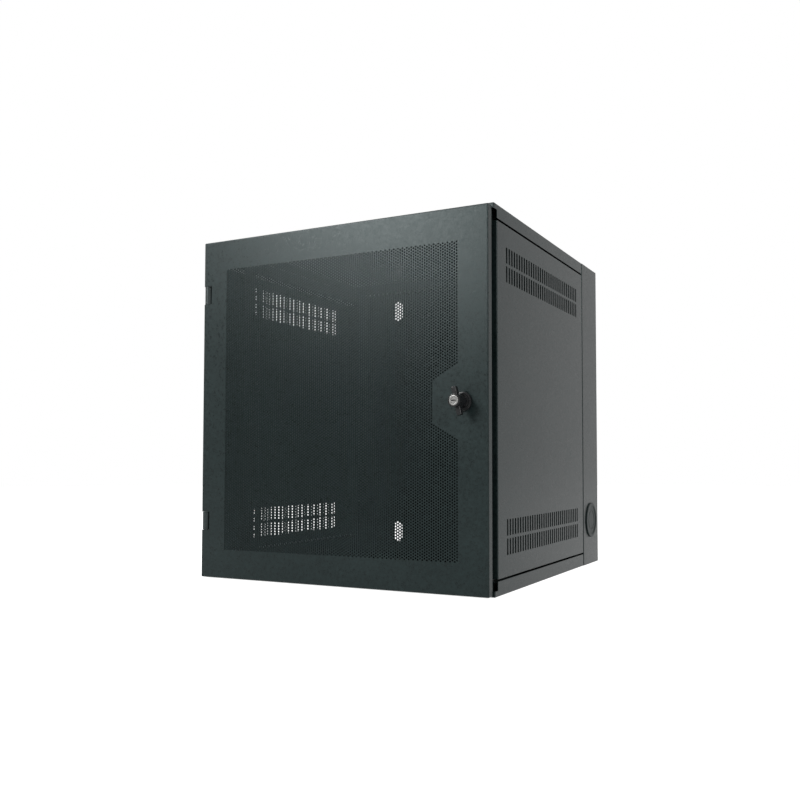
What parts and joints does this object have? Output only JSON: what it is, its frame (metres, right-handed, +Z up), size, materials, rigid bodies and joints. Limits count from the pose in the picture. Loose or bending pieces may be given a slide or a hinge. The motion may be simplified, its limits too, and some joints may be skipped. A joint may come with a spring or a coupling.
{
  "type": "wall-mount network rack cabinet",
  "caption": "Wall-mount swing-out network rack cabinet: perforated lockable front door, slotted side vents, adjustable rack rails and a shallow hinged wall section.",
  "frame": {"origin": "middle of the cabinet's footprint, on the underside of the bottom pan", "axes": "+X to the right as seen from the front, +Y towards the wall, +Z up; the door faces -Y"},
  "size_m": [0.6238, 0.6695, 0.6599],
  "materials": {
    "cabinet_coat": "fine-texture charcoal powder coat",
    "hinge_coat": "charcoal powder coat",
    "frame_coat": "dark powder coat",
    "rail_finish": "black-plated steel",
    "zinc_plate": "zinc plate",
    "lock_black": "satin black die casting",
    "lock_chrome": "nickel-plated key core",
    "plug_plastic": "moulded blanking plug",
    "bumper_rubber": "soft bumper"
  },
  "bodies": {
    "wall_section": {"wall_back_panel": "cabinet_coat", "wall_side_left": "cabinet_coat", "wall_side_right": "cabinet_coat", "wall_top_panel": "cabinet_coat", "wall_bottom_panel": "cabinet_coat", "cable_plug_left": "plug_plastic", "cable_plug_right": "plug_plastic", "ground_stud": "zinc_plate", "swing_hinge_wall_leaf_upper": "hinge_coat", "swing_hinge_wall_leaf_lower": "hinge_coat", "swing_hinge_pin_upper": "zinc_plate", "swing_hinge_pin_lower": "zinc_plate"},
    "cabinet": {"top_cover": "cabinet_coat", "bottom_pan": "cabinet_coat", "side_panel_left": "cabinet_coat", "side_panel_right": "cabinet_coat", "front_post_left": "frame_coat", "front_post_right": "frame_coat", "rear_post_left": "frame_coat", "rear_post_right": "frame_coat", "rail_support_left_upper": "frame_coat", "rail_support_left_lower": "frame_coat", "rail_support_right_upper": "frame_coat", "rail_support_right_lower": "frame_coat", "swing_hinge_cabinet_leaf_upper": "hinge_coat", "swing_hinge_cabinet_leaf_lower": "hinge_coat", "door_hinge_block_upper": "hinge_coat", "door_hinge_block_lower": "hinge_coat", "swing_latch_case": "frame_coat", "door_bumper_upper": "bumper_rubber", "door_bumper_lower": "bumper_rubber"},
    "door": {"door_panel": "cabinet_coat", "door_hinge_bracket_upper": "frame_coat", "door_hinge_bracket_lower": "frame_coat", "door_hinge_pin_upper": "zinc_plate", "door_hinge_pin_lower": "zinc_plate", "lock_housing": "lock_black", "lock_nut": "zinc_plate"},
    "knob": {"wing_knob": "lock_black", "latch_cam": "zinc_plate", "cam_nut": "zinc_plate"},
    "key_core": {"lock_core": "lock_chrome"},
    "latch_bolt": {"swing_latch_bolt": "zinc_plate"},
    "rail_left": {"rack_rail_left": "rail_finish", "rail_bolt_left_upper": "zinc_plate", "rail_bolt_left_lower": "zinc_plate"},
    "rail_right": {"rack_rail_right": "rail_finish", "rail_bolt_right_upper": "zinc_plate", "rail_bolt_right_lower": "zinc_plate"}
  },
  "joints": [
    {"name": "cabinet_swing", "type": "hinge", "parent": "wall_section", "child": "cabinet", "pos_m": [-0.311, 0.2045, 0.33], "axis": [0, 0, -1], "range_deg": [0, 90]},
    {"name": "door_swing", "type": "hinge", "parent": "cabinet", "child": "door", "pos_m": [-0.2959, -0.308, 0.33], "axis": [0, 0, -1], "range_deg": [0, 130]},
    {"name": "knob_turn", "type": "hinge", "parent": "door", "child": "knob", "pos_m": [0.256, -0.316, 0.324], "axis": [0, 1, 0], "range_deg": [0, 90]},
    {"name": "key_turn", "type": "hinge", "parent": "knob", "child": "key_core", "pos_m": [0.256, -0.35, 0.324], "axis": [0, 1, 0], "range_deg": [0, 90]},
    {"name": "latch_slide", "type": "slide", "parent": "cabinet", "child": "latch_bolt", "axis": [1, 0, 0], "range_m": [0, 0.015]},
    {"name": "left_rail_slide", "type": "slide", "parent": "cabinet", "child": "rail_left", "axis": [0, 1, 0], "range_m": [0, 0.3]},
    {"name": "right_rail_slide", "type": "slide", "parent": "cabinet", "child": "rail_right", "axis": [0, 1, 0], "range_m": [0, 0.3]}
  ]
}
